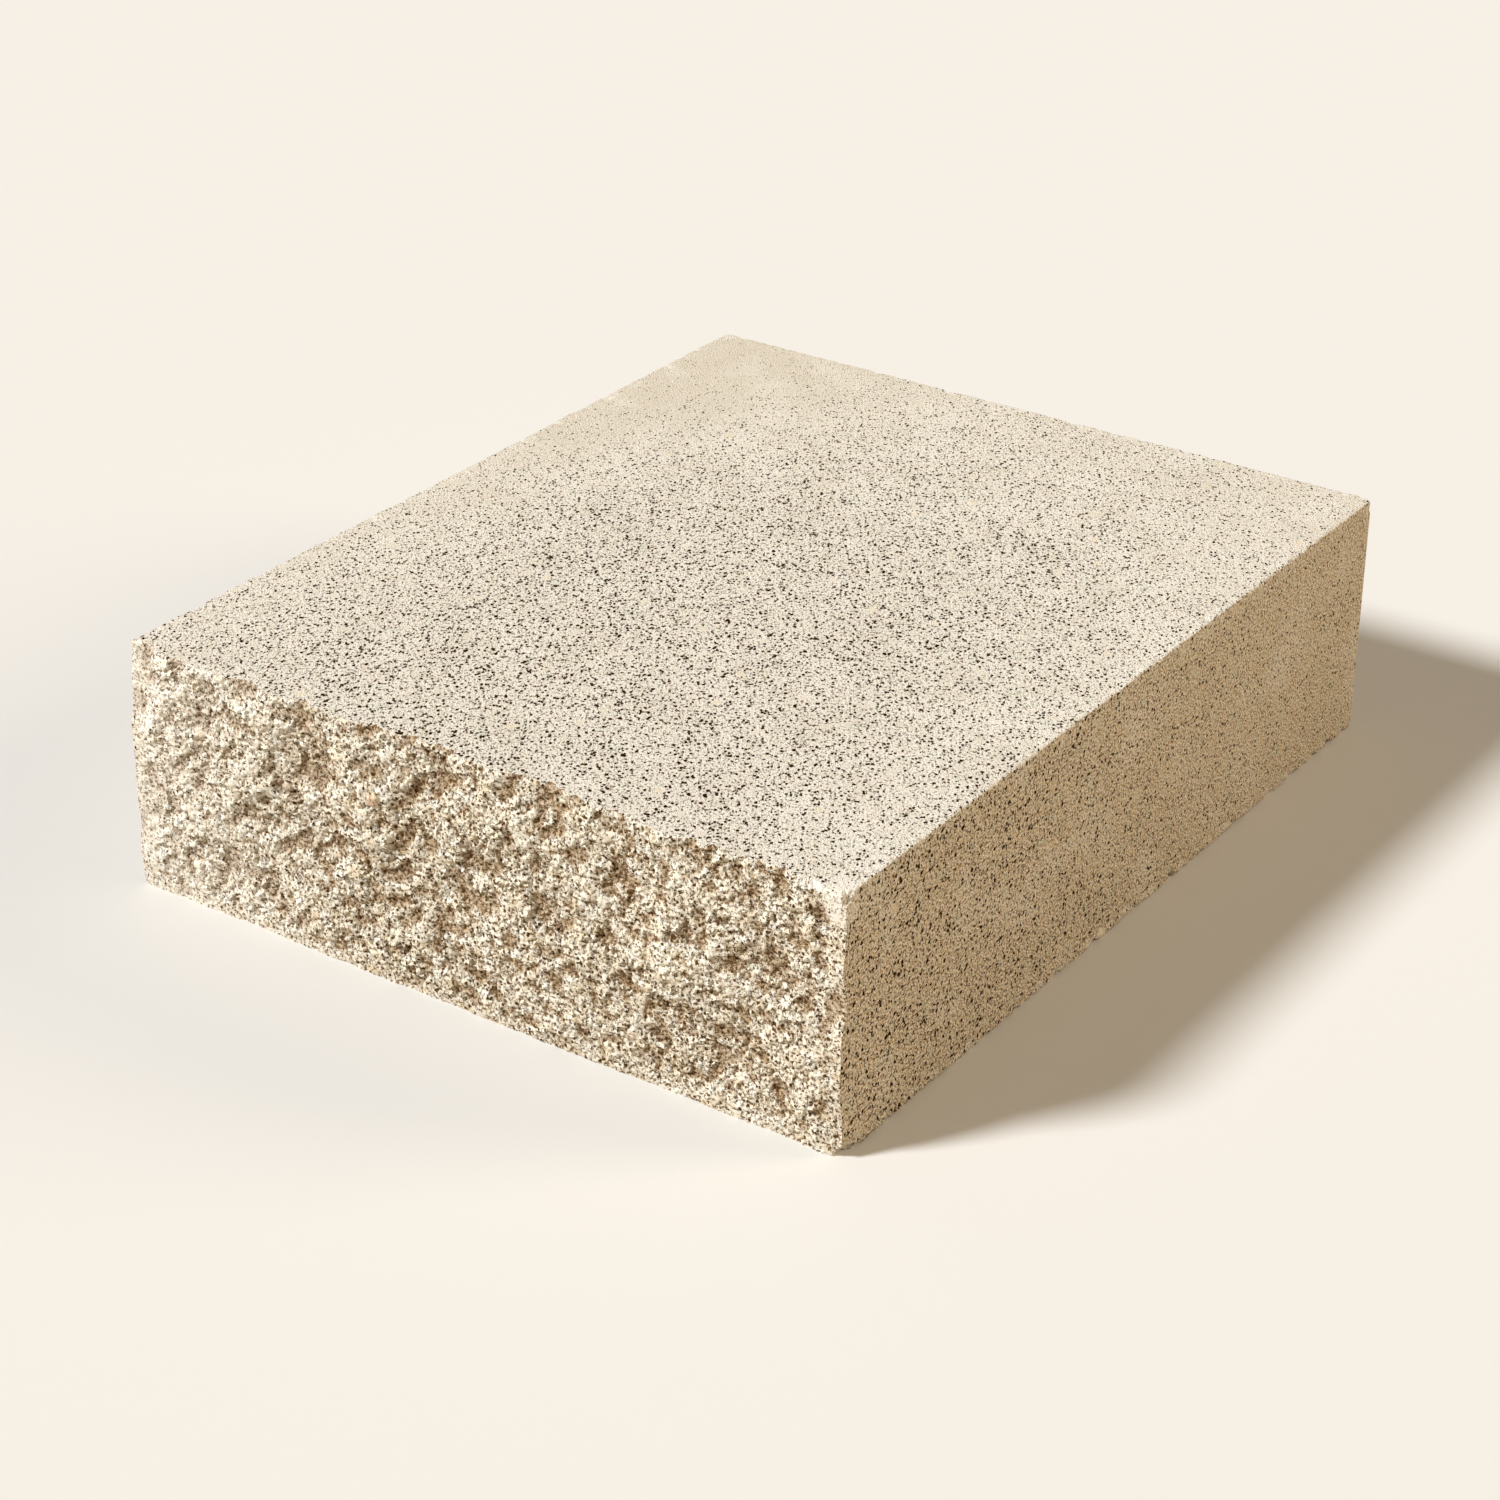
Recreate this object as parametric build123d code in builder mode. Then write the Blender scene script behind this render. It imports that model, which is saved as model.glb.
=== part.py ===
"""Split-face wall coping: one solid unit of pressed concrete, 250 x 300 x 80 mm.

A double unit is moulded as a plain block with slightly rounded edges. It is then broken in two along an
upright surface, which leaves each half with one rough, lumpy face towards the front of the wall.

Frame: millimetres, +Z up, +X along the wall, -Y out of the split face.
The origin is the middle of the bed face, halfway between the back and the mean plane of the break.
"""

import os
from math import ceil, exp
from random import Random

from build123d import *

# Moulded block
LENGTH = 250.0  # along the wall, end face to end face
DEPTH = 300.0  # across the wall, back face to the mean plane of the break
HEIGHT = 80.0  # bed face to top face
CORNER_RADIUS = 2.5  # upright corners at the back
ARRIS_RADIUS = 1.0  # long edges round the top and bed faces

# Lumps and dents of the broken face, one in each cell of a lattice
LUMP_SPACING = 12.0
LUMP_SHIFT = 4.2  # furthest that a lump lies from the middle of its cell, each way
LUMP_REACH = 7.0  # from the middle of a lump to where it has mostly died away
LUMP_RISE = 1.8  # the highest lump, and the deepest dent
LUMP_MARGIN = 12.0  # lumps die away within this distance of the bed and top edges
LUMP_SEED = 11

# Bites out of the top edge of the break: (share of the length from the left end, reach in mm, depth in mm)
TOP_BITES = [
    (0.016, 6.5, 1.6),
    (0.184, 5.5, 2.4),
    (0.268, 7.0, 1.6),
    (0.376, 5.5, 1.8),
    (0.468, 6.0, 1.5),
    (0.588, 9.5, 2.2),
    (0.708, 5.5, 1.5),
    (0.812, 7.0, 2.0),
    (0.916, 5.5, 1.7),
]

# Swells of the broken face, and hollows where the rise is below zero:
# (share of the length from the left end, share of the height from the bed, reach in mm, rise in mm)
SWELLS = [
    (0.02, 0.92, 9.0, -2.6),
    (0.12, 0.58, 20.0, 1.7),
    (0.19, 0.27, 15.0, -1.1),
    (0.21, 0.94, 11.0, 1.4),
    (0.28, 0.72, 14.0, -2.0),
    (0.35, 0.22, 15.0, 1.5),
    (0.36, 0.66, 15.0, 1.8),
    (0.44, 0.93, 12.0, -1.8),
    (0.46, 0.38, 17.0, -1.6),
    (0.55, 0.75, 13.0, 1.5),
    (0.58, 0.16, 14.0, 1.0),
    (0.63, 0.97, 11.0, -2.1),
    (0.66, 0.50, 13.0, 1.6),
    (0.71, 0.70, 12.0, -1.5),
    (0.80, 0.48, 20.0, 2.7),
    (0.82, 0.22, 13.0, -1.9),
    (0.90, 0.23, 13.0, -1.8),
    (0.88, 0.90, 12.0, -1.9),
    (0.97, 0.62, 12.0, -1.4),
    (0.99, 0.28, 14.0, 1.3),
]

front_y = -DEPTH / 2
back_y = DEPTH / 2


def places_across(low, high, step):
    """Even places from just below low to just above high, no further apart than the step."""
    start = low - step
    span = high - low + 2 * step
    gaps = ceil(span / step)
    return [start + span * i / gaps for i in range(gaps + 1)]


def lumps_of_break():
    """Middle, reach and rise of each lump, at a place and height drawn for its cell of the lattice."""
    draw = Random(LUMP_SEED)
    lumps = []
    for x in places_across(-LENGTH / 2, LENGTH / 2, LUMP_SPACING):
        for z in places_across(0, HEIGHT, LUMP_SPACING):
            middle_x = x + draw.uniform(-LUMP_SHIFT, LUMP_SHIFT)
            middle_z = z + draw.uniform(-LUMP_SHIFT, LUMP_SHIFT)
            edge_gap = min(middle_z, HEIGHT - middle_z)
            share = min(1.0, max(0.0, edge_gap / LUMP_MARGIN))
            lumps.append((middle_x, middle_z, LUMP_REACH, share * draw.uniform(-LUMP_RISE, LUMP_RISE)))
    return lumps


swells = [((along - 0.5) * LENGTH, up * HEIGHT, reach, rise) for along, up, reach, rise in SWELLS]
bites = [((along - 0.5) * LENGTH, HEIGHT, reach, -depth) for along, reach, depth in TOP_BITES]
mounds = swells + bites + lumps_of_break()


def rise_of_break(x, z):
    """How far the broken face stands out of its mean plane at this place."""
    total = 0.0
    for middle_x, middle_z, reach, rise in mounds:
        total += rise * exp(-((x - middle_x) ** 2 + (z - middle_z) ** 2) / reach**2)
    return total


# Breaking surface, a little wider and taller than the block, through points in rows from the bed up
break_step = LUMP_REACH / 2
break_columns = places_across(-LENGTH / 2, LENGTH / 2, break_step)
break_rows = places_across(0, HEIGHT, break_step)
break_points = [[(x, front_y - rise_of_break(x, z), z) for x in break_columns] for z in break_rows]
break_surface = Face.make_surface_from_array_of_points(break_points, min_deg=3)

# The moulded double block, of which the half behind the break is kept
with BuildPart() as coping_block:
    with BuildSketch():
        with Locations((0, back_y)):
            Rectangle(LENGTH, 2 * DEPTH, align=(Align.CENTER, Align.MAX))
    extrude(amount=HEIGHT)
    upright_back_edges = coping_block.edges().filter_by(Axis.Z).group_by(Axis.Y)[-1]
    fillet(upright_back_edges, CORNER_RADIUS)
    bed_and_top_edges = coping_block.edges().group_by(Axis.Z)[0] + coping_block.edges().group_by(Axis.Z)[-1]
    fillet(bed_and_top_edges, ARRIS_RADIUS)
    split(bisect_by=break_surface, keep=Keep.TOP)

coping_block.part.label = "coping_block"

os.makedirs("parts", exist_ok=True)
export_step(coping_block.part, "parts/coping_block.step")

box = coping_block.part.bounding_box()
print("volume mm3", round(coping_block.part.volume), "size", box.size, "low", box.min, "high", box.max)
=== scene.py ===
"""Looks of the split-face wall coping: its broken face, worn edges and pitted concrete.

Sizes in this script are millimetres in the block's own frame, unless a name says otherwise.
They become metres where a mesh, a lamp or the camera is made.
"""

from math import cos, radians, sin
from typing import NamedTuple

import bpy
import numpy as np
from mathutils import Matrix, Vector, noise
from mathutils.bvhtree import BVHTree


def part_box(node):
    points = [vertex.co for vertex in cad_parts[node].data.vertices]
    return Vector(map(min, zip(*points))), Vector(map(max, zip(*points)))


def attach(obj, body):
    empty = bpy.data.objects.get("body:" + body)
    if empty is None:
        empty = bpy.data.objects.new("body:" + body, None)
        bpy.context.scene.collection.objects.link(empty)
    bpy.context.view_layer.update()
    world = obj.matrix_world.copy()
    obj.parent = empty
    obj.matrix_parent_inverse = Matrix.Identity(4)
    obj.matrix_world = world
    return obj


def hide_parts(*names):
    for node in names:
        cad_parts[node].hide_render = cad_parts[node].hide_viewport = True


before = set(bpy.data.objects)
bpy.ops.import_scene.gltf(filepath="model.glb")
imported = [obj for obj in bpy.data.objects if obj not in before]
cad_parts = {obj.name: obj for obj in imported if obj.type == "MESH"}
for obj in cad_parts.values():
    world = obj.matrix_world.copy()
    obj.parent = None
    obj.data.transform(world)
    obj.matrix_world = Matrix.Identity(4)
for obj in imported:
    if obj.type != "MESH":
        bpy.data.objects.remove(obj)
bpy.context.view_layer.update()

MM = 0.001
NODE = "coping_block"

# The block's flat faces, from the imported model
x_left, x_right = (corner.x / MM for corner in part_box(NODE))
y_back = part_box(NODE)[1].y / MM
y_front = -y_back  # mean plane of the break
z_bed, z_top = (corner.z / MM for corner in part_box(NODE))
block_middle = 0.5 * np.array([x_left + x_right, y_front + y_back, z_bed + z_top])
block_half = 0.5 * np.array([x_right - x_left, y_back - y_front, z_top - z_bed])


def smooth_step(low, high, value):
    """0 below low, 1 above high, and smooth between them."""
    share = np.clip((value - low) / (high - low), 0.0, 1.0)
    return share * share * (3.0 - 2.0 * share)


def evenly(low, high, step):
    """Even places from low to high, about step apart."""
    return np.linspace(low, high, round(abs(high - low) / step) + 1)


# Broken face

SPLIT_STEP = 0.525  # spacing of its points
SEED = 20

# Rough relief under the facets and on top of them: (height, longest and shortest wave, roughness)
COARSE_RELIEF = (0.20, 16.0, 4.0, 0.6)
FINE_RELIEF = (0.14, 3.6, 1.05, -0.2)

# Facets that the break leaves, from coarse to fine: (size, height above or below the rest, slant)
FACETS = [(7.0, 0.34, 0.20), (3.6, 0.32, 0.26)]
FACET_BEND = 0.28  # how far the outlines of the facets waver, as a share of their size
FACET_BEND_WAVES = (4.0, 1.2, 0.4)  # longest wave as a share of their size, shortest wave, roughness

# Pebbles that stand out of the break and holes that others left:
# (how many, smallest and largest width, lowest and highest rise)
PEBBLES = (80, 2.4, 5.0, 0.25, 0.7)
HOLES = (160, 1.4, 3.0, -0.9, -0.3)
PLAIN_TINT = 0.5

# Pale bruise at the near top corner: x, z, half its width and half its height
BRUISE = (x_right - 3.0, z_top - 4.0, 7.0, 9.0)
BRUISE_DEPTH = 6.0  # how far behind the break it goes
BRUISE_REACH = 3.0  # relief shorter than this is rubbed away

# The relief dies away towards the bed and the ends: (within this distance, down to this share)
CALM_BED = (7.0, 0.3)
CALM_ENDS = (10.0, 0.2)

# A hollow lies lower than what is around it: (how far around, and the width of grain that is left out)
HOLLOW_REACHES = (3.2, 0.6)

# The top edge of the break has crumbled away: how far, and its (longest and shortest wave, roughness)
BREAK_ARRIS = 0.7
BREAK_ARRIS_WAVES = (14.0, 2.5, 0.0)

split_x = evenly(x_left, x_right, SPLIT_STEP)
split_z = evenly(z_bed, z_top, SPLIT_STEP)


def cad_break():
    """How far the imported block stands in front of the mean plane, at each point of the broken face."""
    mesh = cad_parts[NODE].data
    tree = BVHTree.FromPolygons([v.co for v in mesh.vertices], [p.vertices for p in mesh.polygons])
    clear = 1.5 * ARRIS_RADIUS
    rise = np.zeros((len(split_z), len(split_x)))
    for row, z in enumerate(np.clip(split_z, z_bed + clear, z_top - clear)):
        for column, x in enumerate(np.clip(split_x, x_left + clear, x_right - clear)):
            start = Vector((x, 2 * y_front, z)) * MM
            hit = tree.ray_cast(start, Vector((0.0, 1.0, 0.0)))[0]
            rise[row, column] = y_front - hit.y / MM
    return rise


def wave_numbers(shape):
    """The wave number of each place in the spectrum of a grid of this shape, in waves per mm."""
    along = np.fft.rfftfreq(shape[1], SPLIT_STEP)
    up = np.fft.fftfreq(shape[0], SPLIT_STEP)
    return np.hypot(up[:, None], along[None, :])


def fracture(rng, longest, shortest, roughness):
    """A self-similar rough surface of mean square height 1, with waves between these lengths."""
    white = rng.standard_normal((len(split_z), len(split_x)))
    waves = wave_numbers(white.shape)
    share = np.zeros_like(waves)
    kept = (waves > 1.0 / longest) & (waves < 1.0 / shortest)
    share[kept] = waves[kept] ** -(1.0 + roughness)
    surface = np.fft.irfft2(np.fft.rfft2(white) * share, s=white.shape)
    return surface / surface.std()


def blurred(surface, reach):
    """The surface with everything much shorter than reach taken out."""
    border = round(3.0 * reach / SPLIT_STEP)
    wide = np.pad(surface, border, mode="edge")
    keep = np.exp(-2.0 * (np.pi * reach * wave_numbers(wide.shape)) ** 2)
    smooth = np.fft.irfft2(np.fft.rfft2(wide) * keep, s=wide.shape)
    return smooth[border:-border, border:-border]


def lowest_nearby(surface, reach):
    """The lowest rise within this many points of each point."""
    lowest = surface
    for axis in (0, 1):
        wide = np.pad(lowest, [(reach, reach) if axis == side else (0, 0) for side in (0, 1)], mode="edge")
        views = np.lib.stride_tricks.sliding_window_view(wide, 2 * reach + 1, axis=axis)
        lowest = views.min(axis=-1)
    return lowest


def facets(rng, size, drop, slant):
    """Flat facets of about this size, each at its own height and slant, with spare ones past the edges."""
    spare = 3
    longest, shortest, roughness = FACET_BEND_WAVES
    bend = FACET_BEND * size
    across = split_x[None, :] - x_left + bend * fracture(rng, longest * size, shortest, roughness)
    across = across / size + spare
    up = split_z[:, None] - z_bed + bend * fracture(rng, longest * size, shortest, roughness)
    up = up / size + spare
    cells = (int(up.max()) + spare, int(across.max()) + spare)
    middle_across, middle_up = rng.random((2, *cells))
    height = rng.uniform(-drop, drop, cells)
    slant_across, slant_up = rng.uniform(-slant, slant, (2, *cells))
    nearest = np.full(across.shape, np.inf)
    surface = np.zeros(across.shape)
    for row_shift in (-1, 0, 1):
        for column_shift in (-1, 0, 1):
            row = up.astype(int) + row_shift
            column = across.astype(int) + column_shift
            apart_across = across - column - middle_across[row, column]
            apart_up = up - row - middle_up[row, column]
            distance = apart_across**2 + apart_up**2
            closer = distance < nearest
            lean = slant_across[row, column] * apart_across + slant_up[row, column] * apart_up
            surface[closer] = (height[row, column] + size * lean)[closer]
            nearest[closer] = distance[closer]
    return surface


class Grain(NamedTuple):
    """One pebble, or one hole where the rise is below zero."""

    x: float
    z: float
    half: float  # half its length
    stretch: float  # its width as a share of its length
    turn: float
    rise: float
    lean: tuple
    tint: float  # up to 0.4 or from 0.6, while PLAIN_TINT is the break around it


def drawn_grain(rng, smallest, largest, lowest, highest):
    """A grain with its place, shape and tint drawn at random. Small ones are the most common."""
    return Grain(
        x=rng.uniform(x_left, x_right),
        z=rng.uniform(z_bed, z_top),
        half=0.5 * (smallest + (largest - smallest) * rng.random() ** 1.6),
        stretch=rng.uniform(0.65, 1.0),
        turn=rng.uniform(0.0, np.pi),
        rise=rng.uniform(lowest, highest),
        lean=tuple(rng.uniform(-0.35, 0.35, 2)),
        tint=rng.choice((0.0, 0.6)) + rng.uniform(0.0, 0.4),
    )


def set_in(surface, ground, tint, grain):
    """Sets a grain on the surface and gives it its tint, or cuts a hole."""
    columns = slice(*np.searchsorted(split_x, (grain.x - grain.half, grain.x + grain.half)))
    rows = slice(*np.searchsorted(split_z, (grain.z - grain.half, grain.z + grain.half)))
    apart_x, apart_z = np.meshgrid(split_x[columns] - grain.x, split_z[rows] - grain.z)
    if apart_x.size == 0:
        return
    cosine, sine = np.cos(grain.turn), np.sin(grain.turn)
    long_way = (apart_x * cosine + apart_z * sine) / grain.half
    short_way = (apart_z * cosine - apart_x * sine) / (grain.half * grain.stretch)
    out = long_way**2 + short_way**2
    inside = out < 1.0
    dome = np.sqrt(np.clip(1.0 - out, 0.0, None)) + grain.lean[0] * long_way + grain.lean[1] * short_way
    middle = ground[rows, columns].mean()
    patch = surface[rows, columns]
    if grain.rise > 0:
        height = middle + grain.rise * (1.6 * dome - 0.6)
        shows = inside & (height > patch)
        tint[rows, columns][shows] = grain.tint
    else:
        height = middle + grain.rise * dome
        shows = inside & (height < patch)
    patch[shows] = height[shows]


def bruised(x, z):
    """How much the near top corner is rubbed at this place of the front, from 0 to 1."""
    middle_x, middle_z, half_width, half_height = BRUISE
    apart = np.hypot((x - middle_x) / half_width, (z - middle_z) / half_height)
    return 1.0 - smooth_step(0.3, 1.0, apart)


def break_relief(rng):
    """Facets, holes, pebbles and crumbs of the break, and the tint of each pebble."""
    height, *waves = COARSE_RELIEF
    relief = height * fracture(rng, *waves)
    for size, drop, slant in FACETS:
        relief += facets(rng, size, drop, slant)
    tint = np.full(relief.shape, PLAIN_TINT)
    for how_many, smallest, largest, lowest, highest in (HOLES, PEBBLES):
        ground = blurred(relief, largest)
        for _ in range(how_many):
            set_in(relief, ground, tint, drawn_grain(rng, smallest, largest, lowest, highest))
    height, *waves = FINE_RELIEF
    relief += height * fracture(rng, *waves)
    return relief, tint


def calmed(distance, reach, share):
    """The share of the relief that is left at this distance from an edge."""
    return share + (1.0 - share) * smooth_step(0.0, reach, distance)


def broken_face():
    """The rise, hollowness and grain tint of the broken face at each of its points."""
    rng = np.random.default_rng(SEED)
    relief, tint = break_relief(rng)
    relief += bruised(split_x[None, :], split_z[:, None]) * (blurred(relief, BRUISE_REACH) - relief)
    near_bed = calmed(split_z - z_bed, *CALM_BED)[:, None]
    near_ends = calmed(np.minimum(split_x - x_left, x_right - split_x), *CALM_ENDS)[None, :]
    surface = cad_break() + relief * near_bed * near_ends
    wide, narrow = (blurred(surface, reach) for reach in HOLLOW_REACHES)
    hollow = np.clip(wide - narrow, -1.0, 1.0)
    uneven = np.clip(fracture(rng, *BREAK_ARRIS_WAVES)[-1], -2.0, 2.0)
    crumbled = BREAK_ARRIS * np.exp(0.5 * uneven)
    short = np.clip(1.0 - (z_top - split_z)[:, None] / crumbled, 0.0, 1.0)
    surface -= crumbled * (1.0 - np.sqrt(1.0 - short**2))
    return surface, hollow, tint


# Moulded faces

EDGE_STEP = 0.85  # spacing of the points along their edges

# Rings of points inside the edges: how far in each one lies, and the spacing of its points
INSETS = [0.45, 1.0, 1.7, 2.7, 4.2, 6.5, 10.0, 15.0, 23.0, 34.0, 50.0, 75.0, 105.0]
RING_STEP_SHARE = 0.55  # of the inset
WIDEST_RING_STEP = 13.0


def edge_ring(corners):
    """Points round the edges of a face, closer along the break, and their places, counted in sides."""
    points, places = [], []
    for side, (start, end) in enumerate(zip(corners, corners[1:] + corners[:1])):
        on_break = start[1] == y_front and end[1] == y_front
        length = np.abs(end - start).max()
        share = evenly(0.0, length, SPLIT_STEP if on_break else EDGE_STEP)[:-1] / length
        points.append(start + share[:, None] * (end - start))
        places.append(side + share)
    return np.concatenate(points), np.concatenate(places)


def inner_ring(corners, step):
    """Points about step apart round four corners, and their places, counted in sides."""
    points, places = [], []
    for side, (start, end) in enumerate(zip(corners, corners[1:] + corners[:1])):
        length = np.abs(end - start).max()
        share = np.linspace(0.0, 1.0, max(1, round(length / step)), endpoint=False)
        points.append(start + share[:, None] * (end - start))
        places.append(side + share)
    return np.concatenate(points), np.concatenate(places)


def stitched(outer_first, outer_places, inner_first, inner_places):
    """Triangles between a ring of points and the next one inside it."""
    outer_count, inner_count = len(outer_places), len(inner_places)
    outer_next = np.append(outer_places[1:], 4.0)
    inner_next = np.append(inner_places[1:], 4.0)
    triangles = []
    i = j = 0
    while i < outer_count or j < inner_count:
        outer_now = outer_first + i % outer_count
        inner_now = inner_first + j % inner_count
        if j == inner_count or (i < outer_count and outer_next[i] <= inner_next[j]):
            i += 1
            triangles.append((outer_now, outer_first + i % outer_count, inner_now))
        else:
            j += 1
            triangles.append((outer_now, inner_first + j % inner_count, inner_now))
    return triangles


def inset_corners(origin, along, across, inset):
    """The four corners of a face, drawn in by the inset."""
    low_a = inset / np.abs(along).max()
    low_b = inset / np.abs(across).max()
    high_a, high_b = 1.0 - low_a, 1.0 - low_b
    shares = [(low_a, low_b), (high_a, low_b), (high_a, high_b), (low_a, high_b)]
    return [origin + a * along + b * across for a, b in shares]


def moulded_face(origin, along, across):
    """Points and triangles of one moulded face, fine along its edges and coarse inside."""
    origin, along, across = (np.array(v, float) for v in (origin, along, across))
    narrowest = min(np.abs(along).max(), np.abs(across).max())
    points, places = edge_ring(inset_corners(origin, along, across, 0.0))
    all_points = [points]
    triangles = []
    first = 0
    count = len(points)
    for inset in INSETS:
        if 2.0 * inset > 0.95 * narrowest:
            break
        step = min(max(EDGE_STEP, RING_STEP_SHARE * inset), WIDEST_RING_STEP)
        inner_points, inner_places = inner_ring(inset_corners(origin, along, across, inset), step)
        triangles += stitched(first, places, count, inner_places)
        all_points.append(inner_points)
        first, places = count, inner_places
        count += len(inner_points)
    all_points.append((origin + 0.5 * along + 0.5 * across)[None, :])
    last = len(places)
    triangles += [(first + i, first + (i + 1) % last, count) for i in range(last)]
    return np.concatenate(all_points), triangles


def split_grid():
    """Points and four-sided faces of the broken face, before its relief."""
    x, z = np.meshgrid(split_x, split_z)
    points = np.stack([x, np.full_like(x, y_front), z], axis=-1).reshape(-1, 3)
    index = np.arange(len(points)).reshape(x.shape)
    quads = np.stack([index[:-1, :-1], index[:-1, 1:], index[1:, 1:], index[1:, :-1]], axis=-1)
    return points, quads.reshape(-1, 4).tolist()


def six_faces():
    """Points and faces of each side with its kind of material. Moulded ones are seen from outside."""
    length = (x_right - x_left, 0, 0)
    depth = (0, y_back - y_front, 0)
    height = (0, 0, z_top - z_bed)
    back_length = (x_left - x_right, 0, 0)
    front_depth = (0, y_front - y_back, 0)
    return [
        (*split_grid(), "split"),
        (*moulded_face((x_left, y_front, z_top), length, depth), "pressed_top"),
        (*moulded_face((x_left, y_back, z_bed), length, front_depth), "pressed_top"),
        (*moulded_face((x_right, y_front, z_bed), depth, height), "pressed_side"),
        (*moulded_face((x_left, y_back, z_bed), front_depth, height), "pressed_side"),
        (*moulded_face((x_right, y_back, z_bed), back_length, height), "pressed_side"),
    ]


# Wear of the edges

ARRIS_RADIUS = 1.0  # round the top and the bed
ARRIS_WAVES = [(0.55, 11.0), (0.35, 3.1)]  # how much the radius varies, and over what length
CORNER_RADIUS = 2.5  # upright corners at the back
EDGE_REACH = 4.0  # how far from an edge it still wears
FRONT_REACH = 16.0  # how far behind the break the moulded faces follow its edge

# Crumbs lost from the moulded edges
CRUMBLE_WAVES = [(0.30, 2.0), (0.30, 5.0)]  # how much, and over what length
CRUMBLE_AT_BED = 3.0  # times as much
CRUMBLE_ELSEWHERE = 1.5
CRUMBLE_ZONE = np.array([10.0, 10.0, 5.0])  # an edge point this near to a face crumbles away from it
FRESH_LOSS = (0.05, 0.6)  # what a place has lost when it starts to look fresh, and when it wholly does

# Knocks on the edges: (place, way out of the block, radius of the bite, depth)
CHIP_ROUGHNESS = 0.10
CHIP_WAVE = 2.2
CHIPS = [
    ((x_right, -148.0, z_top), (1.0, -0.6, 1.0), 9.0, 1.9),
    ((113.0, -149.0, z_top), (0.0, -0.7, 1.0), 12.0, 1.2),
    ((x_left, y_front, z_top), (-1.0, -0.8, 1.0), 7.0, 1.7),
    ((x_left, -118.0, z_top), (-1.0, 0.0, 1.0), 6.0, 1.1),
    ((x_left, -64.0, z_top), (-1.0, 0.0, 1.0), 8.0, 0.8),
    ((x_left, 30.0, z_top), (-1.0, 0.0, 1.0), 7.0, 0.7),
    ((16.0, y_back, z_top), (0.0, 1.0, 1.0), 9.0, 1.4),
    ((26.0, y_back, z_top), (0.0, 1.0, 1.0), 7.0, 1.1),
    ((58.0, y_back, z_top), (0.0, 1.0, 1.0), 10.0, 0.9),
    ((-60.0, y_back, z_top), (0.0, 1.0, 1.0), 8.0, 0.8),
    ((x_right, y_back, z_top), (1.0, 1.0, 1.0), 8.0, 1.6),
    ((x_right, 96.0, z_top), (1.0, 0.0, 1.0), 9.0, 0.9),
    ((x_right, 10.0, z_top), (1.0, 0.0, 1.0), 8.0, 0.6),
    ((x_right, -60.0, z_top), (1.0, 0.0, 1.0), 7.0, 0.7),
    ((x_right, -147.0, 2.0), (1.0, -0.6, -1.0), 8.0, 1.4),
    ((x_right, -40.0, z_bed), (1.0, 0.0, -1.0), 9.0, 1.0),
    ((x_right, 70.0, z_bed), (1.0, 0.0, -1.0), 8.0, 0.9),
    ((x_left, 60.0, z_bed), (-1.0, 0.0, -1.0), 9.0, 1.0),
    ((-40.0, y_back, z_bed), (0.0, 1.0, -1.0), 8.0, 1.0),
]


def noise_at(points, wave, octaves=1):
    """Smooth noise of about -1 to 1 at each point, with waves of this length."""
    if octaves == 1:
        return np.array([noise.noise(Vector(p) / wave) for p in points])
    return np.array([noise.fractal(Vector(p) / wave, 0.6, 2.0, octaves) for p in points])


def waves_at(points, waves):
    """The sum of noises at each point: (share, length of the wave)."""
    return sum(share * noise_at(points, wave) for share, wave in waves)


def break_at(rise, points):
    """The rise of the broken face at the x and z of each point."""
    column = np.interp(points[:, 0], split_x, np.arange(len(split_x)))
    row = np.interp(points[:, 2], split_z, np.arange(len(split_z)))
    left = np.minimum(column.astype(int), len(split_x) - 2)
    low = np.minimum(row.astype(int), len(split_z) - 2)
    right_share, high_share = column - left, row - low
    lower = rise[low, left] * (1 - right_share) + rise[low, left + 1] * right_share
    upper = rise[low + 1, left] * (1 - right_share) + rise[low + 1, left + 1] * right_share
    return lower * (1 - high_share) + upper * high_share


def follow_break(points, rise):
    """The flat points with the front moved to the broken face, and what lies close behind it too."""
    places = points.copy()
    behind = points[:, 1] - y_front
    inner = behind > 0.0
    follows = 1.0 - smooth_step(0.0, FRONT_REACH, behind[inner])
    places[~inner, 1] -= break_at(rise, points[~inner])
    places[inner, 1] -= break_at(lowest_nearby(rise, 2), points[inner]) * follows
    return places


def outline_at(points):
    """How far each point lies inside the block's outline seen from above, and the way out of it."""
    x_mid = block_middle[0]
    corner = np.array([x_right - CORNER_RADIUS - x_mid, y_back - CORNER_RADIUS])
    across = points[:, 0] - x_mid
    past = np.stack([np.abs(across) - corner[0], points[:, 1] - corner[1]], axis=1)
    in_corner = (past > 0).all(axis=1)
    reach = np.where(in_corner, np.hypot(past[:, 0], past[:, 1]), past.max(axis=1))
    sideways = np.where(past[:, 0] >= past[:, 1], 1.0, 0.0)
    way = np.stack([sideways, 1.0 - sideways], axis=1)
    way[in_corner] = past[in_corner] / reach[in_corner, None]
    way[:, 0] *= np.sign(across)
    return CORNER_RADIUS - reach, way


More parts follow.
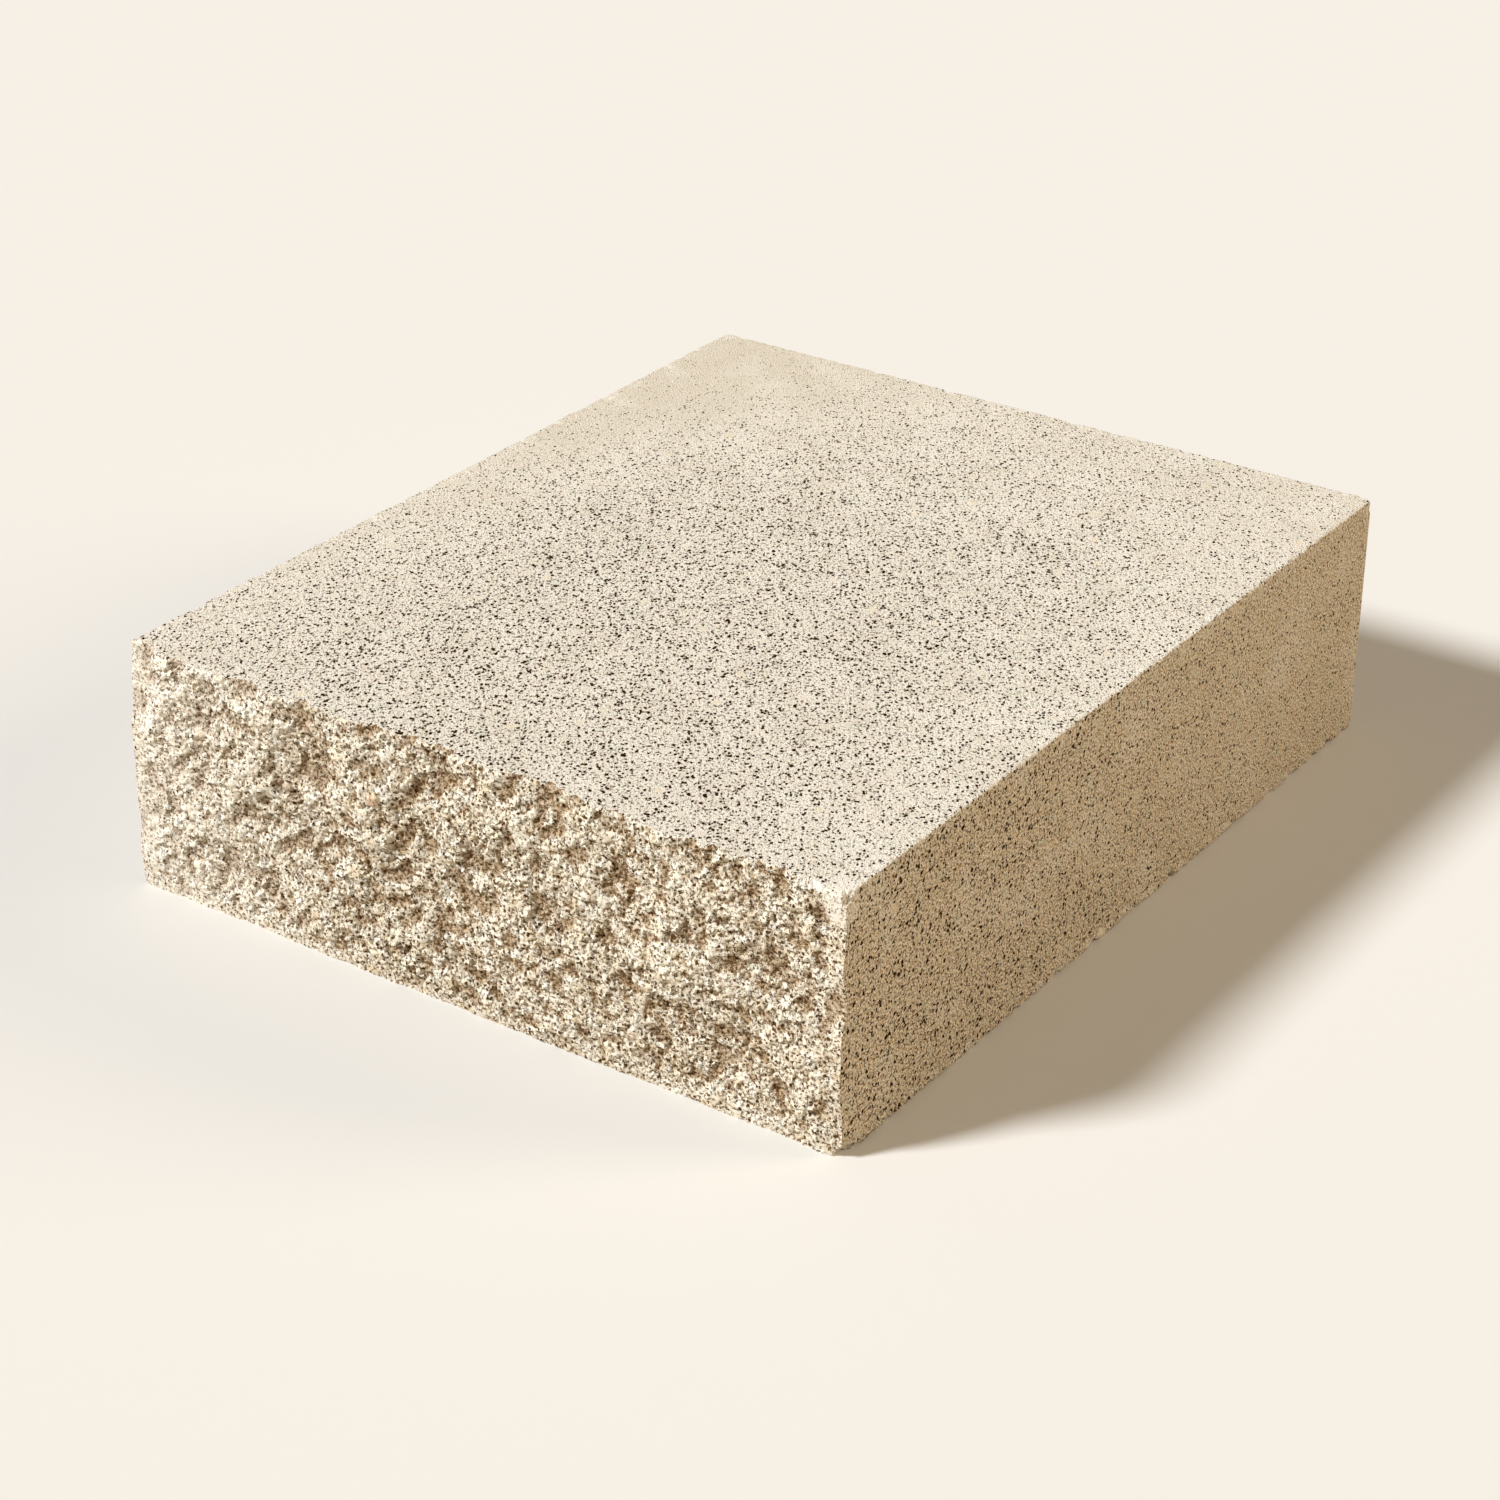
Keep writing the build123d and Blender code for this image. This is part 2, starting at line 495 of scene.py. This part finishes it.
def round_edges(points):
    """Rounds the upright back corners, then the other edges, and tells which points are near those."""
    inside, way = outline_at(points)
    outside = np.minimum(inside, 0.0)
    points[:, :2] += way * outside[:, None]
    inside = np.maximum(inside, 0.0)
    middle = block_middle[2]
    under = block_half[2] - np.abs(points[:, 2] - middle)
    near = (inside < EDGE_REACH) & (under < EDGE_REACH)
    radius = np.full(len(points), ARRIS_RADIUS)
    radius[near] *= 1.0 + waves_at(points[near], ARRIS_WAVES)
    short_in = np.maximum(radius - inside, 0.0)
    short_up = np.maximum(radius - under, 0.0)
    reach = np.hypot(short_in, short_up)
    move = near & (reach > radius)
    scale = np.where(move, radius / np.maximum(reach, 1e-6), 1.0)
    points[:, :2] -= way * (short_in * (1.0 - scale))[:, None]
    points[:, 2] -= np.sign(points[:, 2] - middle) * short_up * (1.0 - scale)
    return near


def crumble_edges(places, points, rough):
    """Crumbles the edges at the rough points, and tells how much each of those lost."""
    loss = np.maximum(waves_at(points[rough], CRUMBLE_WAVES), 0.0)
    at_bed = points[rough, 2] < z_bed + EDGE_REACH
    loss *= np.where(at_bed, CRUMBLE_AT_BED, CRUMBLE_ELSEWHERE)
    inward = block_middle - points[rough]
    near_face = np.abs(inward) > block_half - CRUMBLE_ZONE
    places[rough] += np.sign(inward) * near_face * loss[:, None]
    return loss


def chip_edges(points):
    """Knocks shallow bites out of the edges, and tells how far each point was moved."""
    before = points.copy()
    for place, way, radius, depth in CHIPS:
        way = np.array(way) / np.linalg.norm(way)
        middle = np.array(place) + way * (radius - depth)
        apart = points - middle
        distance = np.linalg.norm(apart, axis=1)
        hit = np.flatnonzero(distance < radius)
        rough = 1.0 + CHIP_ROUGHNESS * noise_at(points[hit], CHIP_WAVE, octaves=3)
        push = np.maximum(radius * rough, distance[hit])
        points[hit] = middle + apart[hit] * (push / distance[hit])[:, None]
    return np.linalg.norm(points - before, axis=1)


def worn(points, rise):
    """The flat points moved to the break, the rounded edges and the chips, and how fresh each is."""
    places = follow_break(points, rise)
    near = round_edges(places)
    behind = points[:, 1] - y_front
    rough = np.flatnonzero(near & (behind > 0.0))
    crumbs = crumble_edges(places, points, rough)
    lost = chip_edges(places)
    lost[rough] += crumbs
    fresh = smooth_step(*FRESH_LOSS, lost)
    at_break = behind < BRUISE_DEPTH
    fresh[at_break] += bruised(points[at_break, 0], points[at_break, 2])
    return places, np.clip(fresh, 0.0, 1.0)


# The piece

SHARP_ANGLE = radians(60)  # edges sharper than this aren't shaded smooth


def joined_faces(kinds):
    """All points, faces and material slots of the block, with the points of the break first."""
    all_points, faces, slots = [], [], []
    count = 0
    for points, sides, kind in six_faces():
        all_points.append(points)
        faces += [[count + corner for corner in side] for side in sides]
        slots += [kinds.index(kind)] * len(sides)
        count += len(points)
    return np.concatenate(all_points), faces, slots


def add_attribute(mesh, name, values):
    """Gives each point of the mesh a number, which a material reads by this name."""
    mesh.attributes.new(name, "FLOAT", "POINT").data.foreach_set("value", values.astype(np.float32))


def block_piece(materials):
    """The whole block as one closed mesh, with one material for each kind of face."""
    rise, hollow, tint = broken_face()
    points, faces, slots = joined_faces(list(materials))
    _, first, merged = np.unique(np.round(points, 3), axis=0, return_index=True, return_inverse=True)
    merged = merged.ravel()
    places, fresh = worn(points[first], rise)

    mesh = bpy.data.meshes.new("coping_block_concrete")
    mesh.from_pydata((places * MM).tolist(), [], [[int(merged[corner]) for corner in face] for face in faces])
    for material in materials.values():
        mesh.materials.append(material)
    mesh.polygons.foreach_set("material_index", slots)
    mesh.polygons.foreach_set("use_smooth", [True] * len(faces))
    for name, grid in (("hollow", hollow), ("grain_tint", tint)):
        values = np.zeros(len(places))
        values[merged[:grid.size]] = grid.ravel()
        add_attribute(mesh, name, values)
    add_attribute(mesh, "fresh", fresh)
    mesh.set_sharp_from_angle(angle=SHARP_ANGLE)
    mesh.validate()
    mesh.update()
    piece = bpy.data.objects.new("coping_block_concrete", mesh)
    bpy.context.collection.objects.link(piece)
    return piece


# Materials

class Nodes:
    """The node tree of one material, with short calls for the nodes that concrete needs."""

    def __init__(self, name):
        self.material = bpy.data.materials.new(name)
        self.material.use_nodes = True
        self.tree = self.material.node_tree
        self.shader = self.tree.nodes["Principled BSDF"]
        place = self.add("ShaderNodeTexCoord").outputs["Object"]
        self.place = self.vector("SCALE", place, Scale=1.0 / MM)
        self.flat = self.place

    def add(self, kind, settings=None, inputs=None):
        """A new node, with its settings and with values or links for its inputs."""
        node = self.tree.nodes.new(kind)
        for key, value in (settings or {}).items():
            setattr(node, key, value)
        for key, value in (inputs or {}).items():
            if isinstance(value, bpy.types.NodeSocket):
                self.tree.links.new(value, node.inputs[key])
            else:
                node.inputs[key].default_value = value
        return node

    def math(self, operation, first, second=0.0):
        return self.add("ShaderNodeMath", {"operation": operation}, {0: first, 1: second}).outputs[0]

    def plus(self, value, share, other):
        """The value and this share of the other added up."""
        return self.math("ADD", value, self.math("MULTIPLY", other, share))

    def vector(self, operation, first, second=None, **named):
        inputs = {0: first, **named}
        if second is not None:
            inputs[1] = second
        return self.add("ShaderNodeVectorMath", {"operation": operation}, inputs).outputs[0]

    def axes(self):
        """The place along X, Y and Z."""
        return self.add("ShaderNodeSeparateXYZ", None, {0: self.place}).outputs

    def step(self, value, low, high, start=0.0, end=1.0):
        """A smooth step from start to end as the value goes from low to high."""
        inputs = {"Value": value, "From Min": low, "From Max": high, "To Min": start, "To Max": end}
        return self.add("ShaderNodeMapRange", {"interpolation_type": "SMOOTHSTEP"}, inputs).outputs[0]

    def lay_flat(self, along, up):
        """Patterns after this call lie in these two directions."""
        dots = [
            self.add("ShaderNodeVectorMath", {"operation": "DOT_PRODUCT"}, {0: self.place, 1: way})
            for way in (along, up)
        ]
        inputs = {index: dot.outputs["Value"] for index, dot in enumerate(dots)}
        self.flat = self.add("ShaderNodeCombineXYZ", None, inputs).outputs[0]

    def shake(self, wave, reach):
        """Bends the patterns after this call, so that their shapes are uneven."""
        bend = self.vector("SUBTRACT", self.noise(wave, 1.0).outputs["Color"], (0.5, 0.5, 0.5))
        self.flat = self.vector("ADD", self.flat, self.vector("SCALE", bend, Scale=reach))

    def noise(self, wave, detail=2.0, roughness=0.5):
        inputs = {"Vector": self.flat, "Scale": 1.0 / wave, "Detail": detail, "Roughness": roughness}
        return self.add("ShaderNodeTexNoise", {"noise_dimensions": "2D"}, inputs)

    def cells(self, spacing):
        inputs = {"Vector": self.flat, "Scale": 1.0 / spacing, "Randomness": CELL_SCATTER}
        return self.add("ShaderNodeTexVoronoi", {"voronoi_dimensions": "2D"}, inputs)

    def pores(self, spacing, least, most):
        """How far inside a pore each place is. Spacing is in mm, the rest in spacings."""
        cells = self.cells(spacing)
        own = self.parts(cells.outputs["Color"])[2]
        radius = self.add("ShaderNodeMapRange", None, {0: own, 3: least, 4: most}).outputs[0]
        return self.math("SUBTRACT", radius, cells.outputs["Distance"])

    def parts(self, colour):
        return self.add("ShaderNodeSeparateColor", None, {"Color": colour}).outputs

    def mix(self, share, first, second):
        """The first colour where the share is 0 and the second where it is 1."""
        return self.add("ShaderNodeMix", {"data_type": "RGBA"}, {0: share, 6: first, 7: second}).outputs[2]

    def painted(self, colour, layers):
        """The colour under layers of others: (pattern, where it starts and is full, strength, colour)."""
        for pattern, start, full, strength, paint in layers:
            colour = self.mix(self.step(pattern, start, full, 0.0, strength), colour, paint)
        return colour

    def rubbed(self, colour, fresh, strength):
        """The colour made paler where the concrete is fresh."""
        return self.mix(self.math("MULTIPLY", fresh, strength), colour, PALE)

    def attribute(self, name):
        return self.add("ShaderNodeAttribute", {"attribute_name": name}).outputs["Fac"]

    def bump(self, height, depth):
        inputs = {"Height": height, "Distance": depth * MM, "Strength": 1.0}
        return self.add("ShaderNodeBump", None, inputs).outputs[0]

    def finish(self, colour, normal, roughness):
        self.tree.links.new(colour, self.shader.inputs["Base Color"])
        self.tree.links.new(normal, self.shader.inputs["Normal"])
        self.tree.links.new(roughness, self.shader.inputs["Roughness"])
        self.shader.inputs["Specular IOR Level"].default_value = SPECULAR_LEVEL
        return self.material


def linear(red, green, blue):
    """A colour as written in a paint program, as the linear colour that a shader takes."""
    shares = [c / 255.0 for c in (red, green, blue)]
    return (*[s / 12.92 if s <= 0.04045 else ((s + 0.055) / 1.055) ** 2.4 for s in shares], 1.0)


SPECULAR_LEVEL = 0.01  # bare concrete hardly shines

# Cement and sand
CREAM = linear(244, 240, 231)
PALE = linear(252, 249, 242)
SAND = linear(207, 196, 176)
# The moulded sides: the cement and sand above made darker and browner, as painted shade
SHADED_SIDE_CREAM = linear(227, 210, 183)
SHADED_SIDE_SAND = linear(186, 164, 129)
GREENISH = linear(222, 226, 206)
PINKISH = linear(234, 218, 200)
BREAK_CREAM = linear(249, 240, 219)
BREAK_PALE = linear(253, 249, 236)
BREAK_SAND = linear(216, 192, 152)

# Stones in the moulded faces
TAN_STONE = linear(226, 212, 192)
GREY_STONE = linear(214, 212, 196)
YELLOW_STONE = linear(232, 214, 176)

# Pebbles in the break
PALE_PEBBLE = linear(234, 224, 202)
GREY_PEBBLE = linear(190, 188, 180)
BROWN_PEBBLE = linear(212, 178, 136)
PINK_PEBBLE = linear(224, 190, 168)

# Painted shade in pits, crevices, pores and hollows
PIT_SHADE = linear(52, 31, 4)
CREVICE_SHADE = linear(94, 61, 22)
BREAK_PORE_SHADE = linear(100, 74, 42)
HOLLOW_SHADE = linear(180, 148, 106)

# The two directions that patterns lie in. On the top they are longest towards the back left
TOP_WAYS = ((1.10, 0.70, 0.0), (-0.50, 0.78, 0.0))
SIDE_WAYS = ((1.0, 1.0, 0.0), (0.0, 0.0, 1.0))
BREAK_WAYS = ((1.0, 0.5, 0.0), (0.0, 0.5, 1.0))

# Spacings and waves of the patterns
PATCH_WAVE = 5.0
CLOUD_WAVE = 26.0
ROUGH_WAVE = 1.1
FINE_WAVE = 0.7
SHAKE = (0.8, 0.9)  # wave, reach
STONE_SPACING = 8.0
CELL_SCATTER = 0.85  # how uneven the places of stones and pores are

# Pores: their spacing, and the smallest radius in spacings. One below zero leaves some places without a pore
SMALL_PORES = (1.4, -0.5)
LARGE_PORES = (3.6, -0.3)
BREAK_PORES = (1.3, -0.4)
LARGE_PORE_SHARE = 0.45  # radius of the widest large pore, as a share of the widest small one's
LARGE_PORE_SLOPE = 2.0  # how much steeper the walls of the large pores are
BREAK_PORE_WIDEST = 0.42

# How much shallower the pits of the moulded faces are on stones, in fresh places, and from patch to patch
SHALLOW_ON_STONE = 0.4
SHALLOW_WHERE_FRESH = 0.15
SHALLOW_BY_PATCH = 0.02

# The fine level of the break, which sets its bump and where painted shade falls: lower in hollows, higher on
# pebbles and in fresh places, which have fewer pores
LEVEL_OF_HOLLOW = -0.06
LEVEL_OF_PEBBLE = 0.06
LEVEL_OF_FRESH = 0.08
FEWER_PORES = -0.15
BREAK_RELIEF = 0.3  # height of its bump

# Roughness of the ground and of its pits or hollows
MOULDED_ROUGHNESS = (0.82, 0.97)
BREAK_ROUGHNESS = (0.85, 0.97)

# Where the pits are shallower: (from this place, to this one, change at the first, change at the second)
SIDE_TO_BACK = (-150.0, 150.0, -0.04, 0.06)
TOP_TO_BACK = (0.0, 190.0, 0.0, 0.10)
TOP_TO_ENDS = (60.0, 130.0, 0.0, 0.05)
TOP_TO_LEFT = (-50.0, -190.0, 0.0, 0.16)
TOP_LEFT_SLANT = -0.45  # the left is counted from a line that leans this much
PALE_LEFT_END = (-30.0, -125.0, 0.0, 0.7)  # the same for the break, which grows paler towards its left end


class Finish(NamedTuple):
    """What sets one kind of moulded face apart from another; the sides' darker base and grain colours are
    painted shade.
    """

    name: str
    is_side: bool
    base: tuple
    dark: tuple
    widest: float  # radius of the widest pore, in spacings
    open_at: float  # roughness below which the gaps between grains are open
    grit: float  # strength of the fine grain
    relief: float  # height of the bump


TOP_FINISH = Finish("concrete_pressed_top", False, CREAM, SAND, 0.46, 0.33, 0.6, 0.7)
# The sides' base and grain colours are the top's made darker and browner: painted shade
SHADED_SIDE_FINISH = Finish("concrete_pressed_side", True, SHADED_SIDE_CREAM, SHADED_SIDE_SAND, 0.36, 0.305, 1.0, 1.1)


def smoothness(n, is_side):
    """How much shallower the pits are at each place of a moulded face."""
    x, y, _ = n.axes()
    if is_side:
        return n.step(y, *SIDE_TO_BACK)
    to_back = n.step(y, *TOP_TO_BACK)
    to_ends = n.step(n.math("ABSOLUTE", x), *TOP_TO_ENDS)
    to_left = n.step(n.plus(x, TOP_LEFT_SLANT, y), *TOP_TO_LEFT)
    return n.math("ADD", n.math("ADD", to_back, to_ends), to_left)


def bedded_stones(n):
    """Where a stone lies in the moulded face, from 0 to 1, and its colour."""
    stones = n.cells(STONE_SPACING)
    size, hue, _ = n.parts(stones.outputs["Color"])
    reach = n.step(size, 0.7, 1.0, -0.02, 0.24)
    stone = n.step(n.math("SUBTRACT", reach, stones.outputs["Distance"]), 0.0, 0.03)
    layers = [(hue, 0.30, 0.34, 1.0, GREY_STONE), (hue, 0.80, 0.84, 1.0, YELLOW_STONE)]
    return stone, n.painted(TAN_STONE, layers)


def pits(n, widest, shallow):
    """How far inside a pit each place is, among the small and the large ones."""
    small = n.math("SUBTRACT", n.pores(*SMALL_PORES, widest), shallow)
    large = n.math("SUBTRACT", n.pores(*LARGE_PORES, LARGE_PORE_SHARE * widest), shallow)
    return n.math("MAXIMUM", small, n.math("MULTIPLY", large, LARGE_PORE_SLOPE))


def pressed_concrete(finish):
    """Moulded concrete: grains bedded in cement, with small pits left open between them, and painted shade in
    the pits and in the gaps between grains.
    """
    n = Nodes(finish.name)
    n.lay_flat(*(SIDE_WAYS if finish.is_side else TOP_WAYS))
    patch = n.noise(PATCH_WAVE, 2.0, roughness=0.6)
    _, green, pink = n.parts(patch.outputs["Color"])
    cloud = n.noise(CLOUD_WAVE, 3.0).outputs["Fac"]
    rough = n.noise(ROUGH_WAVE, 2.0, roughness=0.7).outputs["Fac"]
    fine = n.noise(FINE_WAVE, 1.0, roughness=0.6).outputs["Fac"]
    n.shake(*SHAKE)

    stone, stone_colour = bedded_stones(n)
    smooth = smoothness(n, finish.is_side)
    fresh = n.attribute("fresh")
    by_patch = n.step(patch.outputs["Fac"], 0.65, 0.35, -SHALLOW_BY_PATCH, SHALLOW_BY_PATCH)
    shallow = n.plus(n.plus(smooth, SHALLOW_ON_STONE, stone), SHALLOW_WHERE_FRESH, fresh)
    shallow = n.math("ADD", shallow, by_patch)
    hole = pits(n, finish.widest, shallow)
    pit = n.step(hole, -0.01, 0.03)
    gap = n.plus(rough, 0.5, shallow)

    colour = n.painted(finish.base, [
        (fine, 0.5, 0.38, finish.grit, finish.dark),
        (fine, 0.5, 0.62, finish.grit, PALE),
        (green, 0.50, 0.65, 0.35, GREENISH),
        (pink, 0.55, 0.70, 0.25, PINKISH),
        (smooth, 0.02, 0.24, 0.5, finish.dark),
        (cloud, 0.5, 0.75, 0.25, PALE),
        (cloud, 0.5, 0.3, 0.12, SAND),
    ])
    colour = n.mix(n.math("MULTIPLY", stone, 0.35), colour, stone_colour)
    colour = n.rubbed(colour, fresh, 0.6)
    # Painted shade: dark in the open gaps between grains, darker round each pit, and darkest in the pits
    colour = n.painted(colour, [
        (gap, finish.open_at + 0.03, finish.open_at, 0.9, CREVICE_SHADE),
        (hole, -0.10, -0.01, 0.3, CREVICE_SHADE),
    ])
    colour = n.mix(pit, colour, PIT_SHADE)

    height = n.plus(n.step(gap, finish.open_at, finish.open_at + 0.10), 0.6, fine)
    return n.finish(colour, n.bump(height, finish.relief), n.step(pit, 0.0, 1.0, *MOULDED_ROUGHNESS))


def split_concrete(name):
    """Broken concrete: crumbs of sand and cement and a few coloured pebbles, with painted warm brown shade in
    its hollows and painted shade in its crevices and pores.
    """
    n = Nodes(name)
    n.lay_flat(*BREAK_WAYS)
    tint = n.attribute("grain_tint")
    hollow = n.attribute("hollow")
    pale, sandy, _ = n.parts(n.noise(PATCH_WAVE, 2.0, roughness=0.6).outputs["Color"])
    rough = n.noise(ROUGH_WAVE, 2.0, roughness=0.75).outputs["Fac"]
    pebble = n.step(n.math("ABSOLUTE", n.math("SUBTRACT", tint, PLAIN_TINT)), 0.05, 0.1)
    # Paler, with fewer pores and less painted shade, where chipped or bruised and towards the left end of the
    # break
    fresh = n.math("MAXIMUM", n.attribute("fresh"), n.step(n.axes()[0], *PALE_LEFT_END))
    level = n.plus(n.plus(rough, LEVEL_OF_HOLLOW, hollow), LEVEL_OF_PEBBLE, pebble)
    fresh_level = n.plus(level, LEVEL_OF_FRESH, fresh)
    n.shake(*SHAKE)
    hole = n.pores(*BREAK_PORES, BREAK_PORE_WIDEST)
    hole = n.plus(n.plus(hole, FEWER_PORES, pebble), FEWER_PORES, fresh)

    colour = n.painted(BREAK_CREAM, [
        (pale, 0.35, 0.65, 1.0, BREAK_PALE),
        (sandy, 0.52, 0.68, 0.4, BREAK_SAND),
        (tint, 0.80, 0.84, 0.8, PALE_PEBBLE),
        (tint, 0.94, 0.95, 0.6, GREY_PEBBLE),
        (tint, 0.20, 0.16, 0.5, BROWN_PEBBLE),
        (tint, 0.06, 0.05, 0.6, PINK_PEBBLE),
        # painted warm shade in hollows and low places
        (hollow, 0.05, 0.4, 0.65, HOLLOW_SHADE),
        (level, 0.48, 0.40, 0.5, HOLLOW_SHADE),
    ])
    colour = n.rubbed(colour, fresh, 0.5)
    # Painted shade in crevices and pores
    colour = n.painted(colour, [
        (fresh_level, 0.41, 0.38, 0.8, CREVICE_SHADE),
        (hole, -0.02, 0.06, 1.0, BREAK_PORE_SHADE),
    ])
    normal = n.bump(n.step(fresh_level, 0.36, 0.56), BREAK_RELIEF)
    return n.finish(colour, normal, n.step(hollow, -0.5, 0.5, *BREAK_ROUGHNESS))


def concrete_materials():
    """One material for each kind of face."""
    return {
        "split": split_concrete("concrete_split"),
        "pressed_top": pressed_concrete(TOP_FINISH),
        "pressed_side": pressed_concrete(SHADED_SIDE_FINISH),
    }


# Stage

VIEW_AZIMUTH = radians(35.06)
VIEW_ELEVATION = radians(28.20)
VIEW_DISTANCE = 1028.0
VIEW_TARGET = Vector((5.7, -21.9, 29.0))
LENS = 81.4
SENSOR_WIDTH = 36.0

# Lamps: the way to each one, how wide it looks, its strength on a face turned to it, and its colour
KEY = (Vector((-0.45, -0.60, 0.66)), radians(11.0), 3.6, (1.0, 0.995, 0.985))
FILL = (Vector((0.62, 0.42, 0.32)), radians(25.0), 1.35, (1.0, 0.80, 0.56))
SKY_LIGHT = (0.22, 0.185, 0.14, 1.0)
FLOOR_SEEN = (0.80, 0.80, 0.79, 1.0)
FLOOR_BOUNCE = (0.46, 0.38, 0.28, 1.0)
FLOOR_HALF_IN_METRES = 15.0
FLOOR_ROUGHNESS = 0.9


def make_camera():
    """The camera, at the photograph's viewing angle."""
    data = bpy.data.cameras.new("camera")
    data.lens = LENS
    data.sensor_width = SENSOR_WIDTH
    camera = bpy.data.objects.new("camera", data)
    bpy.context.collection.objects.link(camera)
    flat = cos(VIEW_ELEVATION)
    way = Vector((sin(VIEW_AZIMUTH) * flat, -cos(VIEW_AZIMUTH) * flat, sin(VIEW_ELEVATION)))
    camera.location = (VIEW_TARGET + way * VIEW_DISTANCE) * MM
    camera.rotation_mode = "QUATERNION"
    camera.rotation_quaternion = way.to_track_quat("Z", "Y")
    bpy.context.scene.camera = camera


def far_lamp(name, way, width, strength, colour):
    """A lamp so far away that its light is even all over the stage."""
    data = bpy.data.lights.new(name, "SUN")
    data.angle = width
    data.energy = strength
    data.color = colour
    lamp = bpy.data.objects.new(name, data)
    bpy.context.collection.objects.link(lamp)
    lamp.rotation_mode = "QUATERNION"
    lamp.rotation_quaternion = way.to_track_quat("Z", "Y")


def seen_directly(tree):
    """1 on rays that show the stage itself, also in a mirror or glass, and 0 on its light."""
    path = tree.nodes.new("ShaderNodeLightPath")
    share = path.outputs["Is Camera Ray"]
    for other in ("Is Glossy Ray", "Is Transmission Ray"):
        larger = tree.nodes.new("ShaderNodeMath")
        larger.operation = "MAXIMUM"
        tree.links.new(share, larger.inputs[0])
        tree.links.new(path.outputs[other], larger.inputs[1])
        share = larger.outputs[0]
    return share


def seen_or_bounce(tree, seen, bounce):
    """One colour where the stage itself shows, and another for the light that it sends on to the block."""
    colour = tree.nodes.new("ShaderNodeMix")
    colour.data_type = "RGBA"
    colour.inputs[6].default_value = bounce
    colour.inputs[7].default_value = seen
    tree.links.new(seen_directly(tree), colour.inputs[0])
    return colour.outputs[2]


def make_world():
    """A pale background, with a soft warm light of its own."""
    world = bpy.data.worlds.new("studio")
    world.use_nodes = True
    bpy.context.scene.world = world
    tree = world.node_tree
    colour = seen_or_bounce(tree, FLOOR_SEEN, SKY_LIGHT)
    tree.links.new(colour, tree.nodes["Background"].inputs["Color"])


def make_floor():
    """A wide pale floor under the block."""
    half = FLOOR_HALF_IN_METRES
    mesh = bpy.data.meshes.new("floor")
    corners = [(-half, -half, 0.0), (half, -half, 0.0), (half, half, 0.0), (-half, half, 0.0)]
    mesh.from_pydata(corners, [], [(0, 1, 2, 3)])
    floor = bpy.data.objects.new("floor", mesh)
    bpy.context.collection.objects.link(floor)
    material = bpy.data.materials.new("floor_pale")
    material.use_nodes = True
    tree = material.node_tree
    shader = tree.nodes["Principled BSDF"]
    shader.inputs["Roughness"].default_value = FLOOR_ROUGHNESS
    colour = seen_or_bounce(tree, FLOOR_SEEN, FLOOR_BOUNCE)
    tree.links.new(colour, shader.inputs["Base Color"])
    mesh.materials.append(material)


make_camera()
make_world()
make_floor()
far_lamp("key", *KEY)
far_lamp("fill", *FILL)

block = block_piece(concrete_materials())
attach(block, "root")
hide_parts(NODE)

bpy.context.scene.view_settings.view_transform = "Standard"
